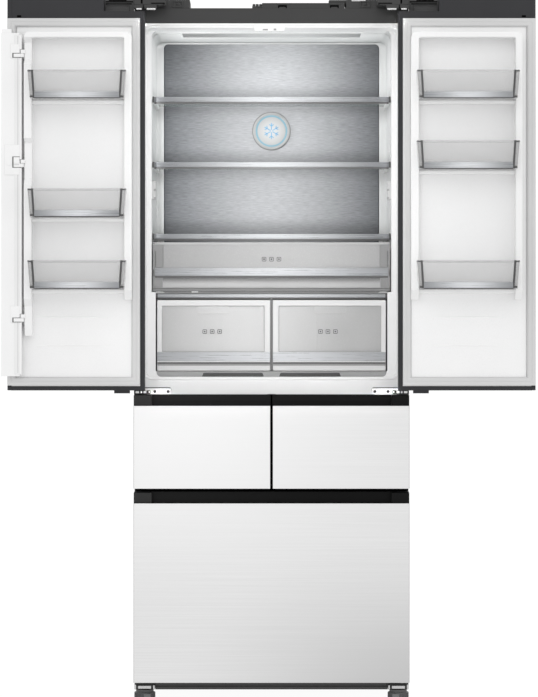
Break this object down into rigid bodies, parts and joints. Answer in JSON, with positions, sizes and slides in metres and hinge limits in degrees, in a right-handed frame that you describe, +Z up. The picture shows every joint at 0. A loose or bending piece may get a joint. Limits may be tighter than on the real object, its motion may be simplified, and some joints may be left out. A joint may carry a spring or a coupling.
{
  "type": "built-in fridge freezer",
  "caption": "White four-door built-in fridge freezer standing open: French doors with bins and a folding flap, glass shelves and crispers above handleless pull-out drawers.",
  "frame": {"origin": "on the floor, under the middle of the whole object as it stands with both doors open", "axes": "+Z up, +Y from the front to the back, +X to the right seen from the front"},
  "size_m": [1.451, 0.704, 1.912],
  "materials": {
    "white_shell": "satin",
    "zinc_steel": "satin",
    "foam": "matte",
    "white_liner": "satin",
    "white_metal": "satin",
    "dark_plastic": "matte",
    "hinge_steel": "satin",
    "screw_steel": "satin",
    "brushed_panel": "brushed",
    "silver_cap": "satin",
    "lamp_lens": "satin",
    "shelf_glass": "gloss",
    "clear_plastic": "gloss",
    "handle_metal": "brushed",
    "front_white": "satin",
    "box_plastic": "satin",
    "runner_steel": "satin",
    "gasket": "matte",
    "black_metal": "satin",
    "coil_aluminium": "satin",
    "foot_plastic": "matte"
  },
  "bodies": {
    "cabinet": {"outer_wrapper": "white_shell", "rear_panel": "zinc_steel", "base_pan": "zinc_steel", "cabinet_foam": "foam", "fridge_liner": "white_liner", "drawer_liners": "white_liner", "freezer_liner": "white_liner", "front_frame": "white_metal", "top_trim": "dark_plastic", "base_rail": "dark_plastic", "top_hinges": "hinge_steel", "lower_hinges": "hinge_steel", "hinge_screws": "screw_steel", "top_covers": "dark_plastic", "back_panel": "brushed_panel", "air_cap": "silver_cap", "fan_motor": "dark_plastic", "ceiling_lamp": "lamp_lens", "flap_guide": "white_liner", "crisper_shelf": "shelf_glass", "drawer_runners": "runner_steel", "compressor": "black_metal", "evaporator": "coil_aluminium", "machine_cover": "zinc_steel"},
    "left_foot": {"foot_left": "foot_plastic"},
    "right_foot": {"foot_right": "foot_plastic"},
    "fan": {"air_fan": "box_plastic"},
    "upper_shelf": {"shelf_top": "shelf_glass"},
    "centre_shelf": {"shelf_middle": "shelf_glass"},
    "lower_shelf": {"shelf_bottom": "shelf_glass"},
    "fresh_drawer": {"fresh_tray": "clear_plastic", "fresh_handle": "handle_metal"},
    "left_crisper": {"crisper_left_tray": "clear_plastic", "crisper_left_front": "white_liner"},
    "right_crisper": {"crisper_right_tray": "clear_plastic", "crisper_right_front": "white_liner"},
    "left_drawer": {"drawer_left_front": "front_white", "drawer_left_grip": "black_metal", "drawer_left_box": "box_plastic"},
    "right_drawer": {"drawer_right_front": "front_white", "drawer_right_grip": "black_metal", "drawer_right_box": "box_plastic"},
    "freezer_drawer": {"freezer_front": "front_white", "freezer_grip": "black_metal", "freezer_box": "box_plastic"},
    "left_door": {"left_door_panel": "front_white", "left_door_frame": "dark_plastic", "left_door_liner": "white_liner", "left_door_gasket": "gasket"},
    "right_door": {"right_door_panel": "front_white", "right_door_frame": "dark_plastic", "right_door_liner": "white_liner", "right_door_gasket": "gasket"},
    "flap": {"door_flap": "white_liner"},
    "left_bin_top_body": {"left_bin_top": "clear_plastic"},
    "left_bin_middle_body": {"left_bin_middle": "clear_plastic"},
    "left_bin_bottom_body": {"left_bin_bottom": "clear_plastic"},
    "right_bin_top_body": {"right_bin_top": "clear_plastic"},
    "right_bin_middle_body": {"right_bin_middle": "clear_plastic"},
    "right_bin_bottom_body": {"right_bin_bottom": "clear_plastic"}
  },
  "joints": [
    {"name": "left_door_hinge", "type": "hinge", "parent": "cabinet", "child": "left_door", "pos_m": [-0.36, -0.228, 0], "axis": [0, 0, 1], "range_deg": [0, 180]},
    {"name": "right_door_hinge", "type": "hinge", "parent": "cabinet", "child": "right_door", "pos_m": [0.36, -0.228, 0], "axis": [0, 0, -1], "range_deg": [0, 180]},
    {"name": "flap_fold", "type": "hinge", "parent": "left_door", "child": "flap", "pos_m": [-0.675, -0.288, 0], "axis": [0, 0, -1], "range_deg": [-90, 0]},
    {"name": "upper_shelf_slide", "type": "slide", "parent": "cabinet", "child": "upper_shelf", "axis": [0, 1, 0], "range_m": [-0.3, 0]},
    {"name": "centre_shelf_slide", "type": "slide", "parent": "cabinet", "child": "centre_shelf", "axis": [0, 1, 0], "range_m": [-0.3, 0]},
    {"name": "lower_shelf_slide", "type": "slide", "parent": "cabinet", "child": "lower_shelf", "axis": [0, 1, 0], "range_m": [-0.3, 0]},
    {"name": "fresh_drawer_slide", "type": "slide", "parent": "cabinet", "child": "fresh_drawer", "axis": [0, 1, 0], "range_m": [-0.28, 0]},
    {"name": "left_crisper_slide", "type": "slide", "parent": "cabinet", "child": "left_crisper", "axis": [0, 1, 0], "range_m": [-0.28, 0]},
    {"name": "right_crisper_slide", "type": "slide", "parent": "cabinet", "child": "right_crisper", "axis": [0, 1, 0], "range_m": [-0.28, 0]},
    {"name": "left_drawer_slide", "type": "slide", "parent": "cabinet", "child": "left_drawer", "axis": [0, 1, 0], "range_m": [-0.38, 0]},
    {"name": "right_drawer_slide", "type": "slide", "parent": "cabinet", "child": "right_drawer", "axis": [0, 1, 0], "range_m": [-0.38, 0]},
    {"name": "freezer_drawer_slide", "type": "slide", "parent": "cabinet", "child": "freezer_drawer", "axis": [0, 1, 0], "range_m": [-0.28, 0]},
    {"name": "left_bin_top_lift", "type": "slide", "parent": "left_door", "child": "left_bin_top_body", "axis": [0, 0, 1], "range_m": [0, 0.04]},
    {"name": "left_bin_middle_lift", "type": "slide", "parent": "left_door", "child": "left_bin_middle_body", "axis": [0, 0, 1], "range_m": [0, 0.04]},
    {"name": "left_bin_bottom_lift", "type": "slide", "parent": "left_door", "child": "left_bin_bottom_body", "axis": [0, 0, 1], "range_m": [0, 0.04]},
    {"name": "right_bin_top_lift", "type": "slide", "parent": "right_door", "child": "right_bin_top_body", "axis": [0, 0, 1], "range_m": [0, 0.04]},
    {"name": "right_bin_middle_lift", "type": "slide", "parent": "right_door", "child": "right_bin_middle_body", "axis": [0, 0, 1], "range_m": [0, 0.04]},
    {"name": "right_bin_bottom_lift", "type": "slide", "parent": "right_door", "child": "right_bin_bottom_body", "axis": [0, 0, 1], "range_m": [0, 0.04]},
    {"name": "fan_spin", "type": "hinge", "parent": "cabinet", "child": "fan", "pos_m": [0, 0.259, 1.5782], "axis": [0, 1, 0], "continuous": true},
    {"name": "left_foot_turn", "type": "hinge", "parent": "cabinet", "child": "left_foot", "pos_m": [-0.346, -0.204, 0.02], "axis": [0, 0, 1], "continuous": true},
    {"name": "right_foot_turn", "type": "hinge", "parent": "cabinet", "child": "right_foot", "pos_m": [0.346, -0.204, 0.02], "axis": [0, 0, 1], "continuous": true}
  ]
}
